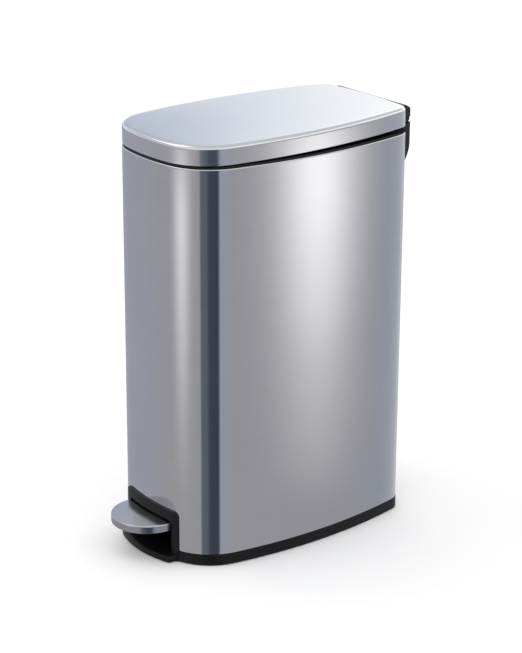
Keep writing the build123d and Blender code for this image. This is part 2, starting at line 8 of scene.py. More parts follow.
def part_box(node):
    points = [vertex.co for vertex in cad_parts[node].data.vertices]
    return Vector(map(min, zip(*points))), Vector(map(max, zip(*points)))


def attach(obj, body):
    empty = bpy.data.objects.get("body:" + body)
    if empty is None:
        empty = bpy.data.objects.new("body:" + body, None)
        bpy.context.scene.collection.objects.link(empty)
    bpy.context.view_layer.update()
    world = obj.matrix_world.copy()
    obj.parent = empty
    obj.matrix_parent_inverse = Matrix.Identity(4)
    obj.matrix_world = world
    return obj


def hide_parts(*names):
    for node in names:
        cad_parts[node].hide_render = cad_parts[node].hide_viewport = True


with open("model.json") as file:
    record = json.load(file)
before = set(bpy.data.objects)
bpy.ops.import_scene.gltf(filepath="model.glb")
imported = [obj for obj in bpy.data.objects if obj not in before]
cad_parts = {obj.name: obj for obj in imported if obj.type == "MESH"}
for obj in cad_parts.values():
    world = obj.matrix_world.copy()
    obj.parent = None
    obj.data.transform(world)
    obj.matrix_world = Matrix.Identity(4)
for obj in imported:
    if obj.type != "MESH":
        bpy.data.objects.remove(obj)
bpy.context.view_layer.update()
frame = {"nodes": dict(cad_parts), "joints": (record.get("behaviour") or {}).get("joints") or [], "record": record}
joints = {joint["name"]: joint for joint in frame["joints"]}
hingeAt = Vector(joints["lid_hinge"]["pos_m"])
shellLow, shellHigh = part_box("outer_shell")
print("frame loaded:", len(frame["nodes"]), "nodes")


# plan outline: four bowed sides with corner arcs, shared by the body and the lid

planShape = {
    "sideBow": 0.0268,
    "frontBow": 0.0237,
    "backBow": 0.0118,
    "frontCorner": 0.0794,
    "backCorner": 0.0237,
    "widestY": -0.0156,
    "steps": {"front": 12, "frontCorner": 30, "side": 34, "backCorner": 16, "back": 10},
}

halfWidth = (shellHigh.x - shellLow.x) / 2
halfDepth = (shellHigh.y - shellLow.y) / 2
bodyY = (shellHigh.y + shellLow.y) / 2


def bowRadius(halfChord, bow):
    return (halfChord ** 2 + bow ** 2) / (2 * bow)


def cornerCentre(sideCentre, sideRadius, endCentre, endRadius, corner, facing):
    # the corner arc touches both neighbours from inside
    sideReach, endReach = sideRadius - corner, endRadius - corner
    gap = endCentre - sideCentre
    along = (sideReach ** 2 - endReach ** 2 + gap.length_squared) / (2 * gap.length)
    across = math.sqrt(sideReach ** 2 - along ** 2)
    way = gap.normalized()
    foot = sideCentre + way * along
    normal = Vector((-way.y, way.x))
    choices = (foot + normal * across, foot - normal * across)
    return max(choices, key=lambda p: p.x + facing * p.y)


def planArcs():
    # right-hand half, from the middle of the front to the middle of the back
    shape = planShape
    sideRadius = bowRadius(halfDepth, shape["sideBow"])
    side = Vector((halfWidth - sideRadius, shape["widestY"]))
    frontRadius = bowRadius(halfWidth, shape["frontBow"])
    front = Vector((0, frontRadius - halfDepth))
    backRadius = bowRadius(halfWidth, shape["backBow"])
    back = Vector((0, halfDepth - backRadius))
    cornerF = cornerCentre(side, sideRadius, front, frontRadius, shape["frontCorner"], -1)
    cornerB = cornerCentre(side, sideRadius, back, backRadius, shape["backCorner"], 1)

    def heading(a, b):
        return math.atan2(b.y - a.y, b.x - a.x)

    turns = [-math.pi / 2, heading(front, cornerF), heading(side, cornerF), heading(side, cornerB),
             heading(back, cornerB), math.pi / 2]
    arcs = [(front, frontRadius, "front"), (cornerF, shape["frontCorner"], "frontCorner"),
            (side, sideRadius, "side"), (cornerB, shape["backCorner"], "backCorner"),
            (back, backRadius, "back")]
    return [(c, r, turns[i], turns[i + 1], shape["steps"][k]) for i, (c, r, k) in enumerate(arcs)]


def planHalf(offset):
    points = []
    for centre, radius, start, stop, steps in planArcs():
        for i in range(steps):
            turn = start + (stop - start) * i / steps
            points.append((centre.x + (radius + offset) * math.cos(turn),
                           centre.y + (radius + offset) * math.sin(turn)))
    return points + [(0.0, halfDepth + offset)]


def planRing(offset, z):
    half = planHalf(offset)
    ring = half + [(-x, y) for x, y in reversed(half[1:-1])]
    return [Vector((x, y + bodyY, z)) for x, y in ring]


# mesh helpers

def skin(name, rings, closed=False, cap=False):
    # quads between rings of the same length; cap fills the last ring
    bm = bmesh.new()
    loops = [[bm.verts.new(p) for p in ring] for ring in rings]
    count = len(rings[0])
    pairs = list(zip(loops, loops[1:])) + ([(loops[-1], loops[0])] if closed else [])
    for a, b in pairs:
        for i in range(count):
            j = (i + 1) % count
            bm.faces.new((a[i], a[j], b[j], b[i]))
    if cap:
        bm.faces.new(loops[-1])
    bmesh.ops.recalc_face_normals(bm, faces=bm.faces)
    return place(name, bm)


def shadeSmooth(mesh, angle=35):
    mesh.polygons.foreach_set("use_smooth", [True] * len(mesh.polygons))
    mesh.set_sharp_from_angle(angle=math.radians(angle))


def place(name, bm, angle=35):
    mesh = bpy.data.meshes.new(name)
    bm.to_mesh(mesh)
    bm.free()
    shadeSmooth(mesh, angle)
    obj = bpy.data.objects.new(name, mesh)
    bpy.context.scene.collection.objects.link(obj)
    return obj


def bake(obj):
    # applies the modifiers
    graph = bpy.context.evaluated_depsgraph_get()
    mesh = bpy.data.meshes.new_from_object(obj.evaluated_get(graph))
    obj.modifiers.clear()
    obj.data = mesh
    return obj


def roundedBlock(low, high, radius, steps=6):
    # block with its four edges along Y rounded
    bm = bmesh.new()
    middleX, middleZ = (low[0] + high[0]) / 2, (low[2] + high[2]) / 2
    corners = ((high[0], high[2], 0), (low[0], high[2], 90), (low[0], low[2], 180), (high[0], low[2], 270))
    ring = []
    for cornerX, cornerZ, start in corners:
        centreX = cornerX - math.copysign(radius, cornerX - middleX)
        centreZ = cornerZ - math.copysign(radius, cornerZ - middleZ)
        for i in range(steps + 1):
            turn = math.radians(start + 90 * i / steps)
            ring.append((centreX + radius * math.cos(turn), centreZ + radius * math.sin(turn)))
    near, far = [[bm.verts.new((x, y, z)) for x, z in ring] for y in (low[1], high[1])]
    for i in range(len(ring)):
        j = (i + 1) % len(ring)
        bm.faces.new((near[i], near[j], far[j], far[i]))
    bm.faces.new(near)
    bm.faces.new(far)
    bmesh.ops.recalc_face_normals(bm, faces=bm.faces)
    return place("cutter", bm)


def cutAway(obj, cutters):
    for cutter in cutters:
        boolean = obj.modifiers.new("cut", "BOOLEAN")
        boolean.object = cutter
        boolean.operation = "DIFFERENCE"
        boolean.solver = "EXACT"
    bake(obj)
    for cutter in cutters:
        bpy.data.objects.remove(cutter)
    shadeSmooth(obj.data)
    return obj


def softened(node, name, width, segments=2, angle=32):
    # the node's own shape with its hard edges rounded over
    mesh = frame["nodes"][node].data.copy()
    mesh.name = name
    bm = bmesh.new()
    bm.from_mesh(mesh)
    bmesh.ops.remove_doubles(bm, verts=bm.verts, dist=2e-5)
    bmesh.ops.dissolve_limit(bm, angle_limit=math.radians(0.6), verts=bm.verts, edges=bm.edges)
    obj = place(name, bm, angle=30)
    bevel = obj.modifiers.new("round", "BEVEL")
    bevel.width = width
    bevel.segments = segments
    bevel.limit_method = "ANGLE"
    bevel.angle_limit = math.radians(angle)
    bevel.use_clamp_overlap = True
    bevel.harden_normals = True
    bake(obj)
    return obj


def tiltLid(obj, degrees):
    turn = Matrix.Rotation(math.radians(degrees), 4, "X")
    about = Matrix.Translation(hingeAt) @ turn @ Matrix.Translation(-hingeAt)
    obj.data.transform(about)
    return obj


def settle(obj, body, material, slotName, *nodes):
    obj.data.materials.clear()
    obj.data.materials.append(material)
    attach(obj, body)
    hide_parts(*nodes)
    return obj


# shader groups

def newGroup(name, inputs, outputs):
    group = bpy.data.node_groups.new(name, "ShaderNodeTree")
    for label, kind, value in inputs:
        made = group.interface.new_socket(label, in_out="INPUT", socket_type=kind)
        if value is not None:
            made.default_value = value
    for label, kind in outputs:
        group.interface.new_socket(label, in_out="OUTPUT", socket_type=kind)
    entry = group.nodes.new("NodeGroupInput")
    leave = group.nodes.new("NodeGroupOutput")
    return group, entry, leave


def addNode(tree, kind, **settings):
    node = tree.nodes.new(kind)
    for key, value in settings.items():
        setattr(node, key, value)
    return node


def mathNode(tree, operation, a, b=None, clamp=False):
    node = addNode(tree, "ShaderNodeMath", operation=operation, use_clamp=clamp)
    for socket, value in zip(node.inputs, (a, b)):
        if value is None:
            continue
        if isinstance(value, (int, float)):
            socket.default_value = value
        else:
            tree.links.new(value, socket)
    return node.outputs[0]


def makeBrushedGroup():
    # fine level scratches, as from a belt, with a slow cloudiness
    group, entry, leave = newGroup(
        "brushedSteel",
        [("Base Color", "NodeSocketColor", (0.7, 0.7, 0.7, 1)), ("Grain Scale", "NodeSocketFloat", 900.0),
         ("Grain Stretch", "NodeSocketFloat", 0.02), ("Roughness", "NodeSocketFloat", 0.2),
         ("Roughness Spread", "NodeSocketFloat", 0.08), ("Tint", "NodeSocketFloat", 0.05)],
        [("Color", "NodeSocketColor"), ("Roughness", "NodeSocketFloat"), ("Height", "NodeSocketFloat")])
    links = group.links
    coords = addNode(group, "ShaderNodeTexCoord")
    stretch = addNode(group, "ShaderNodeCombineXYZ")
    stretch.inputs["Z"].default_value = 1.0
    links.new(entry.outputs["Grain Stretch"], stretch.inputs["X"])
    links.new(entry.outputs["Grain Stretch"], stretch.inputs["Y"])
    mapped = addNode(group, "ShaderNodeVectorMath", operation="MULTIPLY")
    links.new(coords.outputs["Object"], mapped.inputs[0])
    links.new(stretch.outputs[0], mapped.inputs[1])
    grain = addNode(group, "ShaderNodeTexNoise")
    grain.inputs["Detail"].default_value = 3.0
    links.new(mapped.outputs[0], grain.inputs["Vector"])
    links.new(entry.outputs["Grain Scale"], grain.inputs["Scale"])
    cloud = addNode(group, "ShaderNodeTexNoise")
    cloud.inputs["Scale"].default_value = 7.0
    cloud.inputs["Detail"].default_value = 2.0
    links.new(coords.outputs["Object"], cloud.inputs["Vector"])
    centred = mathNode(group, "SUBTRACT", grain.outputs["Fac"], 0.5)
    cloudy = mathNode(group, "SUBTRACT", cloud.outputs["Fac"], 0.5)
    both = mathNode(group, "ADD", centred, mathNode(group, "MULTIPLY", cloudy, 0.9))
    spread = mathNode(group, "MULTIPLY", both, entry.outputs["Roughness Spread"])
    rough = mathNode(group, "ADD", spread, entry.outputs["Roughness"], clamp=True)
    links.new(rough, leave.inputs["Roughness"])
    shade = mathNode(group, "ADD", mathNode(group, "MULTIPLY", both, entry.outputs["Tint"]), 1.0)
    tinted = addNode(group, "ShaderNodeVectorMath", operation="SCALE")
    links.new(entry.outputs["Base Color"], tinted.inputs[0])
    links.new(shade, tinted.inputs["Scale"])
    links.new(tinted.outputs[0], leave.inputs["Color"])
    links.new(grain.outputs["Fac"], leave.inputs["Height"])
    return group


def makeMouldedGroup():
    # spark-eroded mould texture with faint flow marks
    group, entry, leave = newGroup(
        "mouldedPlastic",
        [("Base Color", "NodeSocketColor", (0.02, 0.02, 0.02, 1)),
         ("Texture Scale", "NodeSocketFloat", 1400.0),
         ("Roughness", "NodeSocketFloat", 0.4), ("Roughness Spread", "NodeSocketFloat", 0.1),
         ("Flow", "NodeSocketFloat", 0.15)],
        [("Color", "NodeSocketColor"), ("Roughness", "NodeSocketFloat"), ("Height", "NodeSocketFloat")])
    links = group.links
    coords = addNode(group, "ShaderNodeTexCoord")
    pits = addNode(group, "ShaderNodeTexVoronoi", feature="SMOOTH_F1")
    links.new(coords.outputs["Object"], pits.inputs["Vector"])
    links.new(entry.outputs["Texture Scale"], pits.inputs["Scale"])
    flow = addNode(group, "ShaderNodeTexNoise")
    flow.inputs["Scale"].default_value = 16.0
    flow.inputs["Detail"].default_value = 4.0
    links.new(coords.outputs["Object"], flow.inputs["Vector"])
    drift = mathNode(group, "SUBTRACT", flow.outputs["Fac"], 0.5)
    links.new(mathNode(group, "ADD", mathNode(group, "MULTIPLY", drift, entry.outputs["Roughness Spread"]),
                       entry.outputs["Roughness"], clamp=True), leave.inputs["Roughness"])
    shade = mathNode(group, "ADD", mathNode(group, "MULTIPLY", drift, entry.outputs["Flow"]), 1.0)
    tinted = addNode(group, "ShaderNodeVectorMath", operation="SCALE")
    links.new(entry.outputs["Base Color"], tinted.inputs[0])
    links.new(shade, tinted.inputs["Scale"])
    links.new(tinted.outputs[0], leave.inputs["Color"])
    links.new(pits.outputs["Distance"], leave.inputs["Height"])
    return group


def makeWearGroup():
    # pale rub along outside edges, broken up with noise
    group, entry, leave = newGroup(
        "edgeWear",
        [("Color", "NodeSocketColor", (0.02, 0.02, 0.02, 1)),
         ("Worn Color", "NodeSocketColor", (0.1, 0.1, 0.1, 1)),
         ("Amount", "NodeSocketFloat", 0.5), ("Breakup", "NodeSocketFloat", 60.0)],
        [("Color", "NodeSocketColor")])
    links = group.links
    geometry = addNode(group, "ShaderNodeNewGeometry")
    coords = addNode(group, "ShaderNodeTexCoord")
    noise = addNode(group, "ShaderNodeTexNoise")
    noise.inputs["Detail"].default_value = 5.0
    links.new(coords.outputs["Object"], noise.inputs["Vector"])
    links.new(entry.outputs["Breakup"], noise.inputs["Scale"])
    edge = addNode(group, "ShaderNodeMapRange")
    edge.inputs["From Min"].default_value = 0.53
    edge.inputs["From Max"].default_value = 0.62
    links.new(geometry.outputs["Pointiness"], edge.inputs["Value"])
    patchy = mathNode(group, "MULTIPLY", edge.outputs["Result"], noise.outputs["Fac"])
    mask = mathNode(group, "MULTIPLY", patchy, entry.outputs["Amount"], clamp=True)
    blend = addNode(group, "ShaderNodeMix", data_type="RGBA")
    links.new(mask, blend.inputs["Factor"])
    links.new(entry.outputs["Color"], blend.inputs["A"])
    links.new(entry.outputs["Worn Color"], blend.inputs["B"])
    links.new(blend.outputs["Result"], leave.inputs["Color"])
    return group


brushedGroup = makeBrushedGroup()
mouldedGroup = makeMouldedGroup()
wearGroup = makeWearGroup()


def placeGroup(tree, group, values):
    node = tree.nodes.new("ShaderNodeGroup")
    node.node_tree = group
    for label, value in values.items():
        node.inputs[label].default_value = value
    return node


def startMaterial(name):
    material = bpy.data.materials.new(name)
    material.use_nodes = True
    return material, material.node_tree, material.node_tree.nodes["Principled BSDF"]


def bumpFrom(tree, height, shader, strength, distance):
    bump = addNode(tree, "ShaderNodeBump")
    bump.inputs["Strength"].default_value = strength
    bump.inputs["Distance"].default_value = distance
    tree.links.new(height, bump.inputs["Height"])
    tree.links.new(bump.outputs["Normal"], shader.inputs["Normal"])


def brushedMaterial(name, color, roughness, spread, scale=900.0, stretch=0.02, bump=0.05, tint=0.05):
    material, tree, shader = startMaterial(name)
    finish = placeGroup(tree, brushedGroup, {
        "Base Color": (*color, 1), "Grain Scale": scale, "Grain Stretch": stretch,
        "Roughness": roughness, "Roughness Spread": spread, "Tint": tint})
    tree.links.new(finish.outputs["Color"], shader.inputs["Base Color"])
    tree.links.new(finish.outputs["Roughness"], shader.inputs["Roughness"])
    shader.inputs["Metallic"].default_value = 1.0
    bumpFrom(tree, finish.outputs["Height"], shader, bump, 0.0001)
    return material


def plasticMaterial(name, color, worn, roughness, spread, scale=1400.0, bump=0.1, wear=0.4, specular=0.5):
    material, tree, shader = startMaterial(name)
    finish = placeGroup(tree, mouldedGroup, {
        "Base Color": (*color, 1), "Texture Scale": scale, "Roughness": roughness,
        "Roughness Spread": spread})
    edges = placeGroup(tree, wearGroup, {"Worn Color": (*worn, 1), "Amount": wear})
    tree.links.new(finish.outputs["Color"], edges.inputs["Color"])
    tree.links.new(edges.outputs["Color"], shader.inputs["Base Color"])
    tree.links.new(finish.outputs["Roughness"], shader.inputs["Roughness"])
    shader.inputs["Specular IOR Level"].default_value = specular
    bumpFrom(tree, finish.outputs["Height"], shader, bump, 0.0001)
    return material


steelFinish = brushedMaterial("satinSteel", (0.80, 0.80, 0.81), 0.095, 0.06, scale=420.0,
                              bump=0.04, tint=0.07)
lidFinish = brushedMaterial("lidSteel", (0.83, 0.83, 0.84), 0.17, 0.05, scale=420.0, bump=0.04)
# the tread is the body's satin steel painted darker: painted shade that stands in for the greyer look of the tread
# top and of its reflection in the shell
shadedTreadFinish = brushedMaterial("treadSteelShaded", (0.60, 0.60, 0.62), 0.2, 0.08, bump=0.06)
zincFinish = brushedMaterial("zincSteel", (0.52, 0.52, 0.50), 0.34, 0.16, scale=260.0, stretch=0.6,
                             bump=0.05, tint=0.25)
blackFinish = plasticMaterial("blackPlastic", (0.006, 0.006, 0.007), (0.03, 0.03, 0.034), 0.34, 0.12,
                              specular=0.25)
coverFinish = plasticMaterial("coverPlastic", (0.010, 0.010, 0.012), (0.04, 0.04, 0.045), 0.38, 0.12,
                              specular=0.3)
rimFinish = plasticMaterial("rimPlastic", (0.008, 0.008, 0.010), (0.04, 0.04, 0.045), 0.42, 0.12,
                            specular=0.25)
bucketFinish = plasticMaterial("bucketPlastic", (0.05, 0.052, 0.056), (0.10, 0.10, 0.11), 0.50, 0.14,
                               scale=900.0)
rubberFinish = plasticMaterial("footRubber", (0.025, 0.025, 0.025), (0.05, 0.05, 0.05), 0.75, 0.10,
                               scale=600.0, specular=0.3)
print("materials made")


# body shell

shell = {
    "sheet": 0.0006,
    "hem": 0.004,
    "topRadius": 0.0013,
    "bottomRadius": 0.0009,
    "lowSupport": 0.0019,
    "highSupport": 0.0022,
    "band": 0.010,
    "fold": 0.0004,
    "window": {"half": 0.0640, "high": 0.0755, "corner": 0.009},
    "notch": {"half": 0.033, "drop": 0.005, "corner": 0.002},
}


def makeShell():
    low, high = shellLow.z, shellHigh.z
    rings = [(-shell["hem"], low)]
    for i in range(4):
        turn = math.radians(90 * i / 3)
        r = shell["bottomRadius"]
        rings.append((-r + r * math.sin(turn), low + r - r * math.cos(turn)))
    band = shell["band"]
    rings += [(0, low + shell["lowSupport"]), (0, low + band), (0, high - band),
              (0, high - shell["highSupport"])]
    for i in range(6):
        turn = math.radians(90 * i / 5)
        r = shell["topRadius"]
        rings.append((-r + r * math.cos(turn), high - r + r * math.sin(turn)))
    t, hem, fold = shell["sheet"], shell["hem"], shell["fold"]
    rings += [(-hem + 0.0003, high), (-hem, high - 0.0002), (-hem, high - t),
              (-t - fold, high - t), (-t, high - t - fold), (-t, low + t + fold),
              (-t - fold, low + t), (-hem, low + t)]
    obj = skin("bodyShell", [planRing(offset, z) for offset, z in rings], closed=True)
    window = shell["window"]
    front = shellLow.y
    pedalCut = roundedBlock((-window["half"], front - 0.02, low - 0.05),
                            (window["half"], front + 0.02, window["high"]), window["corner"])
    notch = shell["notch"]
    hingeCut = roundedBlock((-notch["half"], shellHigh.y - 0.02, high - notch["drop"]),
                            (notch["half"], shellHigh.y + 0.005, high + 0.02), notch["corner"])
    return cutAway(obj, [pedalCut, hingeCut])


settle(makeShell(), "bin_body", steelFinish, "satin_steel", "outer_shell")
print("shell made")


# lid skin

lid = {
    "tilt": 0.894,
    "drop": 0.0038,
    "height": 0.0298,
    "inset": 0.0005,
    "shoulder": 0.0055,
    "dome": 0.0015,
    "domeSteps": 26,
    "lining": 0.0006,
    "hem": 0.002,
    "notch": {"half": 0.033, "high": 0.014, "corner": 0.001},
}


def makeLid():
    low = hingeAt.z - lid["drop"]
    top = low + lid["height"] - lid["dome"]
    edge = -lid["inset"]
    lining, hem = edge - lid["lining"], edge - lid["hem"]
    rings = [(lining, low + 0.012), (lining, low + 0.0008), (hem, low + 0.0006),
             (hem, low), (edge - 0.0003, low), (edge - 0.0001, low + 0.0001), (edge, low + 0.0004),
             (edge, low + 0.0016), (edge, top - lid["shoulder"] - 0.0015)]
    for i in range(9):
        turn = math.radians(88 * i / 8)
        r = lid["shoulder"]
        rings.append((edge - r + r * math.cos(turn), top - r + r * math.sin(turn)))
    loops = [planRing(offset, z) for offset, z in rings]
    last = loops[-1]
    start = last[0].z
    for i in range(1, lid["domeSteps"]):
        share = 1 - i / lid["domeSteps"]
        rise = (top + lid["dome"] - start) * (1 - share ** 2)
        loops.append([Vector((p.x * share, bodyY + (p.y - bodyY) * share, start + rise)) for p in last])
    obj = skin("lidSkin", loops, cap=True)
    notch = lid["notch"]
    hingeCut = roundedBlock((-notch["half"], shellHigh.y - 0.02, low - 0.02),
                            (notch["half"], shellHigh.y + 0.005, low + notch["high"]), notch["corner"])
    return tiltLid(cutAway(obj, [hingeCut]), lid["tilt"])


settle(makeLid(), "lid", lidFinish, "satin_steel", "lid_cap")
print("lid made")


# pedal tread

tread = {
    "reach": 0.058,
    "half": 0.054,
    "low": 0.048,
    "high": 0.061,
    "tail": 0.011,
    "radius": 0.0016,
    "crown": 0.0012,
    "crownAt": 0.018,
    "crownSteps": 14,
    "skin": 0.0009,
    "steps": 64,
}


def treadOutline():
    # half-moon with a short straight tail under the body
    bulge = bowRadius(tread["half"], tread["reach"])
    centre = shellLow.y - tread["reach"] + bulge
    start = math.atan2(shellLow.y - centre, -tread["half"])
    stop = math.atan2(shellLow.y - centre, tread["half"])
    if start > 0:
        start -= 2 * math.pi
    points = []
    for i in range(tread["steps"] + 1):
        turn = start + (stop - start) * i / tread["steps"]
        points.append((bulge * math.cos(turn), centre + bulge * math.sin(turn)))
    tail = shellLow.y + tread["tail"]
    points += [(tread["half"], shellLow.y + 0.004), (tread["half"], tail - 0.0005),
               (tread["half"] - 0.0005, tail), (-tread["half"] + 0.0005, tail),
               (-tread["half"], tail - 0.0005), (-tread["half"], shellLow.y + 0.004)]
    return points


def insetLoop(points, inset, z):
    count = len(points)
    loop = []
    for i, (x, y) in enumerate(points):
        before, after = points[i - 1], points[(i + 1) % count]
        way = Vector((after[0] - before[0], after[1] - before[1])).normalized()
        loop.append(Vector((x - way.y * inset, y + way.x * inset, z)))
    return loop


def makeTread():
    points = treadOutline()
    r, low, high = tread["radius"], tread["low"], tread["high"] - tread["crown"]
    profile = [(tread["skin"], low + 0.006), (tread["skin"], low + 0.0004), (tread["skin"] - 0.0003, low),
               (0.0003, low), (0.0, low + 0.0003), (0, low + 0.0014), (0, high - r - 0.0008)]
    for i in range(7):
        turn = math.radians(90 * i / 6)
        profile.append((r - r * math.cos(turn), high - r + r * math.sin(turn)))
    loops = [insetLoop(points, inset, z) for inset, z in profile]
    last = loops[-1]
    middleY = shellLow.y - tread["crownAt"]
    for i in range(1, tread["crownSteps"]):
        share = 1 - i / tread["crownSteps"]
        rise = tread["crown"] * (1 - share ** 2)
        loops.append([Vector((p.x * share, middleY + (p.y - middleY) * share, high + rise)) for p in last])
    return skin("pedalTread", loops, cap=True)


def makeTreadCore():
    # plastic filling seen from below
    points = treadOutline()
    low, high = tread["low"] + 0.001, tread["high"] - 0.0045
    side = tread["skin"] + 0.0001
    chamfer = 0.0006
    profile = [(side + 0.010, low), (side + chamfer, low), (side, low + chamfer), (side, high),
               (side + 0.004, high)]
    obj = skin("treadCore", [insetLoop(points, inset, z) for inset, z in profile], cap=True)
    bm = bmesh.new()
    bm.from_mesh(obj.data)
    bmesh.ops.holes_fill(bm, edges=[edge for edge in bm.edges if edge.is_boundary], sides=0)
    bmesh.ops.recalc_face_normals(bm, faces=bm.faces)
    bm.to_mesh(obj.data)
    bm.free()
    return obj


settle(makeTread(), "pedal", shadedTreadFinish, "satin_steel", "pedal_cap")
settle(makeTreadCore(), "pedal", blackFinish, "black_plastic", "pedal_core")
print("tread made")


# moulded pieces with rounded edges

mouldings = {
    "pedal_surround": {"name": "pedalSurround", "body": "bin_body", "width": 0.0008, "finish": blackFinish,
                       "slot": "black_plastic"},
    "base": {"name": "baseMoulding", "body": "bin_body", "width": 0.0006, "finish": blackFinish,
             "slot": "black_plastic"},
    "hinge_cover_upper": {"name": "hingeCoverUpper", "body": "lid", "width": 0.0007, "finish": coverFinish,
                          "slot": "black_plastic"},
    "hinge_cover_lower": {"name": "hingeCoverLower", "body": "bin_body", "width": 0.0007,
                          "finish": coverFinish, "slot": "black_plastic"},
    "top_rim": {"name": "topRim", "body": "bin_body", "width": 0.0005, "finish": rimFinish,
                "slot": "rim_plastic"},
    "lid_liner": {"name": "lidLiner", "body": "lid", "width": 0.0006, "finish": rimFinish,
                  "slot": "rim_plastic"},
    "inner_bucket": {"name": "innerBucket", "body": "bucket", "width": 0.0006, "finish": bucketFinish,
                     "slot": "bucket_plastic"},
}

for node, make in mouldings.items():
    settle(softened(node, make["name"], make["width"]), make["body"], make["finish"], make["slot"], node)
print("mouldings made")


# pieces that keep their own shape

keptFinishes = {"zinc_steel": zincFinish, "black_plastic": blackFinish, "rubber": rubberFinish}

for part in frame["record"]["subparts"]:
    obj = frame["nodes"][part["node"]]
    if obj.hide_render:
        continue
    for materialSlot in obj.material_slots:
        materialSlot.material = keptFinishes[part["material_slot"]]


# floor, light and camera

floor = {"size": 6.0, "color": (0.96, 0.96, 0.965, 1), "shade": 0.985, "cells": 24}

sky = {
    # heading in degrees from the front, then the light that comes from there, level with the body
    "around": [
        (-180, (0.56, 0.58, 0.62)), (-150, (0.50, 0.52, 0.57)), (-110, (0.38, 0.40, 0.46)),
        (-60, (0.352, 0.366, 0.425)),
        (-40, (0.352, 0.350, 0.374)), (20, (0.350, 0.350, 0.372)), (35, (0.345, 0.350, 0.375)),
        (37, (0.11, 0.135, 0.165)), (49, (0.105, 0.13, 0.155)), (54, (0.055, 0.062, 0.085)),
        (74, (0.045, 0.052, 0.080)), (76.5, (0.345, 0.365, 0.42)), (98, (0.345, 0.360, 0.41)),
        (108, (0.350, 0.350, 0.375)), (146, (0.340, 0.342, 0.368)), (155, (0.325, 0.345, 0.405)),
        (161, (0.46, 0.48, 0.53)), (170, (0.52, 0.54, 0.58)), (180, (0.56, 0.58, 0.62))],
    "horizon": (0.98, 0.99, 1.01, 1),
    # the same from above, which only the lid and the tread mirror
    "over": [
        (-180, (1.26, 1.27, 1.28)), (-134, (1.30, 1.31, 1.32)), (-131, (1.24, 1.25, 1.26)),
        (-129, (1.02, 1.04, 1.07)), (-126.5, (0.86, 0.89, 0.96)), (-124.5, (0.68, 0.73, 0.83)),
        (-122, (0.48, 0.54, 0.66)), (-116, (0.42, 0.48, 0.60)), (-108, (0.45, 0.50, 0.60)),
        (-92, (0.80, 0.82, 0.86)), (-62, (0.45, 0.46, 0.50)), (-50, (0.33, 0.33, 0.36)),
        (-20, (0.33, 0.33, 0.36)), (5, (0.90, 0.91, 0.93)), (180, (1.12, 1.13, 1.14))],
    # straight overhead, mirrored when looking down on the lid
    "zenith": (0.60, 0.62, 0.66, 1),
    "ambient": 1.14,
}


def makeFloor():
    bm = bmesh.new()
    bmesh.ops.create_grid(bm, x_segments=floor["cells"], y_segments=floor["cells"], size=floor["size"])
    obj = place("studioFloor", bm)
    material, tree, shader = startMaterial("floorPaper")
    noise = addNode(tree, "ShaderNodeTexNoise")
    noise.inputs["Scale"].default_value = 40.0
    ramp = addNode(tree, "ShaderNodeMix", data_type="RGBA")
    ramp.inputs["A"].default_value = floor["color"]
    ramp.inputs["B"].default_value = tuple(c * floor["shade"] for c in floor["color"][:3]) + (1,)
    tree.links.new(noise.outputs["Fac"], ramp.inputs["Factor"])
    tree.links.new(ramp.outputs["Result"], shader.inputs["Base Color"])
    shader.inputs["Roughness"].default_value = 0.9
    shader.inputs["Specular IOR Level"].default_value = 0.1
    obj.data.materials.append(material)
    obj.visible_glossy = False


def makeWorld():
    world = bpy.data.worlds.new("studioLight")
    bpy.context.scene.world = world
    world.use_nodes = True
    tree = world.node_tree
    tree.nodes.clear()
    links = tree.links
    coords = addNode(tree, "ShaderNodeTexCoord")
    split = addNode(tree, "ShaderNodeSeparateXYZ")
    links.new(coords.outputs["Generated"], split.inputs[0])
    turn = mathNode(tree, "ARCTAN2", split.outputs["X"], mathNode(tree, "MULTIPLY", split.outputs["Y"], -1.0))
    share = mathNode(tree, "ADD", mathNode(tree, "DIVIDE", turn, 2 * math.pi), 0.5)

    def headingRamp(stopList):
        ramp = addNode(tree, "ShaderNodeValToRGB")
        links.new(share, ramp.inputs["Fac"])
        stops = ramp.color_ramp.elements
        while len(stops) > 1:
            stops.remove(stops[-1])
        for i, (angle, color) in enumerate(stopList):
            stop = stops[0] if i == 0 else stops.new((angle + 180) / 360)
            stop.position = (angle + 180) / 360
            stop.color = (*color, 1)
        return ramp.outputs["Color"]

    def climb(low, high):
        rise = addNode(tree, "ShaderNodeMapRange", interpolation_type="SMOOTHSTEP")
        rise.inputs["From Min"].default_value = low
        rise.inputs["From Max"].default_value = high
        links.new(split.outputs["Z"], rise.inputs["Value"])
        return rise.outputs["Result"]

    def blendColors(factor, a, b):
        mix = addNode(tree, "ShaderNodeMix", data_type="RGBA")
        links.new(factor, mix.inputs["Factor"])
        for label, value in (("A", a), ("B", b)):
            if isinstance(value, tuple):
                mix.inputs[label].default_value = value
            else:
                links.new(value, mix.inputs[label])
        return mix.outputs["Result"]

    lowSky = blendColors(climb(-0.10, 0.16), headingRamp(sky["around"]), sky["horizon"])
    midSky = blendColors(climb(0.15, 0.215), lowSky, headingRamp(sky["over"]))
    allSky = blendColors(climb(0.36, 0.62), midSky, sky["zenith"])
    mirrored = addNode(tree, "ShaderNodeBackground")
    links.new(allSky, mirrored.inputs["Color"])
    plain = addNode(tree, "ShaderNodeBackground")
    plain.inputs["Color"].default_value = (1, 1, 1, 1)
    plain.inputs["Strength"].default_value = sky["ambient"]
    path = addNode(tree, "ShaderNodeLightPath")
    choose = addNode(tree, "ShaderNodeMixShader")
    links.new(path.outputs["Is Glossy Ray"], choose.inputs["Fac"])
    links.new(plain.outputs[0], choose.inputs[1])
    links.new(mirrored.outputs[0], choose.inputs[2])
    out = addNode(tree, "ShaderNodeOutputWorld")
    links.new(choose.outputs[0], out.inputs["Surface"])


